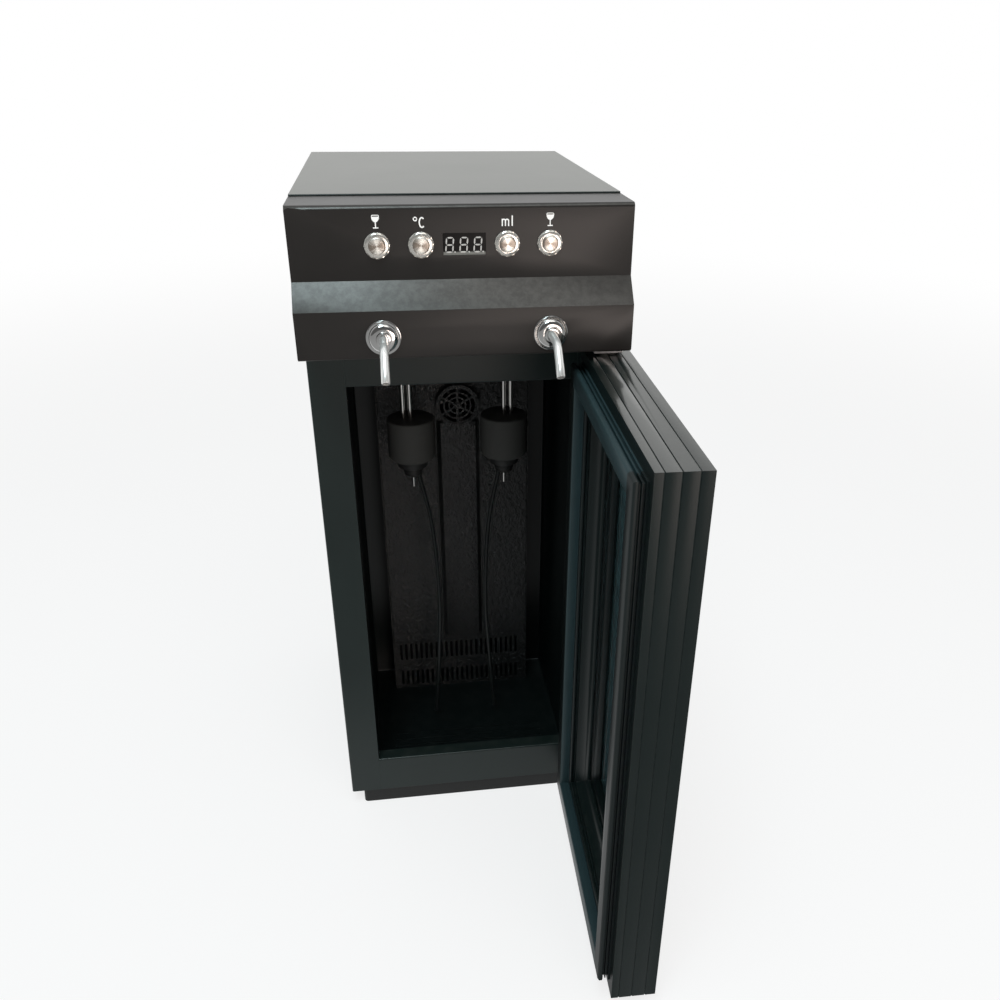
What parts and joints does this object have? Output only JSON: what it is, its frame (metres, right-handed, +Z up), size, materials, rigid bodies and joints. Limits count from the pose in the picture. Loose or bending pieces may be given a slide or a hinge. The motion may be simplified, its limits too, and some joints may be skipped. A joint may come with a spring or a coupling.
{
  "type": "wine preservation dispenser",
  "caption": "Slim cooled cabinet with an open glazed door, gas-fed bottle stoppers on hanging tubes, and a bevelled head with push buttons, a display and chrome spouts.",
  "frame": {"origin": "middle of the cabinet's footprint, on the floor under the plinth", "axes": "+Z up, the front with the door opening faces -Y, +X is to the right seen from the front; the door stands open in front of the right side"},
  "size_m": [0.2566, 0.5853, 0.6],
  "materials": {
    "cabinet_paint": "satin",
    "head_paint": "satin",
    "plinth_plastic": "matte",
    "zinc_sheet": "satin",
    "liner_plastic": "satin",
    "foam": "matte",
    "duct_plate": "gloss",
    "fan_plastic": "matte",
    "sink_aluminium": "satin",
    "cell_ceramic": "matte",
    "chrome_wire": "gloss",
    "supply_case": "satin",
    "circuit_board": "satin",
    "display_block": "gloss",
    "button_steel": "satin",
    "chrome": "polished",
    "valve_brass": "satin",
    "clear_hose": "gloss",
    "grommet_rubber": "matte",
    "stopper_rubber": "matte",
    "seal_rubber": "satin",
    "line_steel": "gloss",
    "dip_plastic": "gloss",
    "inlet_plastic": "satin",
    "door_plastic": "satin",
    "dark_glass": "polished",
    "spacer_metal": "satin",
    "gasket_rubber": "satin",
    "bush_nylon": "satin",
    "hinge_steel": "satin",
    "screw_steel": "satin"
  },
  "bodies": {
    "cabinet": {"plinth_ring": "plinth_plastic", "base_pan": "cabinet_paint", "side_panel_left": "cabinet_paint", "side_panel_right": "cabinet_paint", "bottom_rail": "cabinet_paint", "top_rail": "cabinet_paint", "rear_panel": "cabinet_paint", "top_cover": "cabinet_paint", "fascia_shell": "head_paint", "head_tray": "zinc_sheet", "liner": "liner_plastic", "insulation": "foam", "duct_cover": "duct_plate", "cold_fan_frame": "fan_plastic", "cold_sink": "sink_aluminium", "peltier_module": "cell_ceramic", "hot_sink": "sink_aluminium", "hot_fan_frame": "fan_plastic", "fan_guard": "chrome_wire", "power_supply": "supply_case", "control_board": "circuit_board", "display_module": "display_block", "button_bezels": "button_steel", "spout_flange_left": "chrome", "spout_flange_right": "chrome", "spout_tube_left": "chrome", "spout_tube_right": "chrome", "wine_valve_left": "valve_brass", "wine_valve_right": "valve_brass", "gas_manifold": "valve_brass", "gas_inlet": "chrome", "head_hoses_left": "clear_hose", "head_hoses_right": "clear_hose", "ceiling_grommets": "grommet_rubber", "mains_inlet": "inlet_plastic", "hinge_brackets": "hinge_steel", "hinge_screws": "screw_steel", "panel_screws": "screw_steel"},
    "door": {"door_frame": "door_plastic", "glazing_trim": "door_plastic", "outer_glass": "dark_glass", "inner_glass": "dark_glass", "glass_spacer": "spacer_metal", "door_gasket": "gasket_rubber", "hinge_bushes": "bush_nylon"},
    "left_stopper": {"stopper_left": "stopper_rubber", "stopper_seal_left": "seal_rubber", "line_tubes_left": "line_steel", "dip_tube_left": "dip_plastic"},
    "right_stopper": {"stopper_right": "stopper_rubber", "stopper_seal_right": "seal_rubber", "line_tubes_right": "line_steel", "dip_tube_right": "dip_plastic"},
    "pour_button_left": {"button_pour_left": "button_steel"},
    "temperature_button": {"button_temperature": "button_steel"},
    "volume_button": {"button_volume": "button_steel"},
    "pour_button_right": {"button_pour_right": "button_steel"},
    "cold_rotor": {"cold_fan_rotor": "fan_plastic"},
    "hot_rotor": {"hot_fan_rotor": "fan_plastic"},
    "rocker": {"rocker_switch": "inlet_plastic"}
  },
  "joints": [
    {"name": "door_hinge", "type": "hinge", "parent": "cabinet", "child": "door", "pos_m": [0.114, -0.1785, 0.25], "axis": [0, 0, 1], "range_deg": [-88.4, 26.6]},
    {"name": "left_stopper_slide", "type": "slide", "parent": "cabinet", "child": "left_stopper", "axis": [0, 0, 1], "range_m": [-0.008, 0.04], "deforming": ["head_hoses_left"]},
    {"name": "right_stopper_slide", "type": "slide", "parent": "cabinet", "child": "right_stopper", "axis": [0, 0, 1], "range_m": [-0.008, 0.04], "deforming": ["head_hoses_right"]},
    {"name": "pour_button_left_press", "type": "slide", "parent": "cabinet", "child": "pour_button_left", "axis": [0, 1, 0], "range_m": [0, 0.0015], "stiffness_N_per_m": 1200, "springref_m": -0.001},
    {"name": "temperature_button_press", "type": "slide", "parent": "cabinet", "child": "temperature_button", "axis": [0, 1, 0], "range_m": [0, 0.0015], "stiffness_N_per_m": 1200, "springref_m": -0.001},
    {"name": "volume_button_press", "type": "slide", "parent": "cabinet", "child": "volume_button", "axis": [0, 1, 0], "range_m": [0, 0.0015], "stiffness_N_per_m": 1200, "springref_m": -0.001},
    {"name": "pour_button_right_press", "type": "slide", "parent": "cabinet", "child": "pour_button_right", "axis": [0, 1, 0], "range_m": [0, 0.0015], "stiffness_N_per_m": 1200, "springref_m": -0.001},
    {"name": "cold_fan_spin", "type": "hinge", "parent": "cabinet", "child": "cold_rotor", "pos_m": [0.004, -0.002, 0.384], "axis": [0, 1, 0], "continuous": true},
    {"name": "hot_fan_spin", "type": "hinge", "parent": "cabinet", "child": "hot_rotor", "pos_m": [0, 0.1353, 0.384], "axis": [0, 1, 0], "continuous": true},
    {"name": "rocker_tilt", "type": "hinge", "parent": "cabinet", "child": "rocker", "pos_m": [-0.07, 0.145, 0.094], "axis": [-1, 0, 0], "range_deg": [0, 18]}
  ]
}
